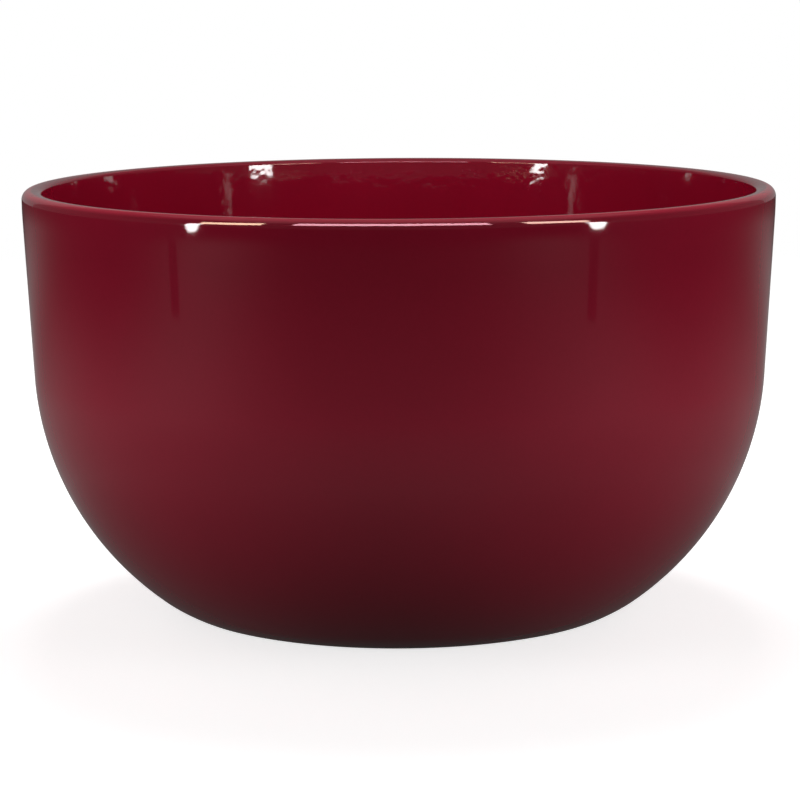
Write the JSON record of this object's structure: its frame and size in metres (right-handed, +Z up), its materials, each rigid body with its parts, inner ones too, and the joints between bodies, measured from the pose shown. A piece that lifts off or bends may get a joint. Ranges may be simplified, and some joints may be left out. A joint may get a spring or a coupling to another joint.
{
  "type": "glazed stoneware bowl",
  "caption": "Deep round serving bowl in glossy dark red glazed stoneware, with a nearly upright wall, a rounded rim and a low bare foot ring to stand on.",
  "frame": {"origin": "centre of the foot ring's flat underside, on the surface that the bowl stands on", "axes": "+Z up along the bowl's axis, out of its mouth; the bowl is round, so X and Y are any two level directions"},
  "size_m": [0.22, 0.22, 0.1244],
  "materials": {
    "stoneware": "fired bare clay, matte and slightly gritty",
    "red_glaze": "opaque dark red glaze, very glossy"
  },
  "bodies": {
    "root": {"stoneware_body": "stoneware", "outer_glaze": "red_glaze", "inner_glaze": "red_glaze", "foot_well_glaze": "red_glaze"}
  },
  "joints": []
}
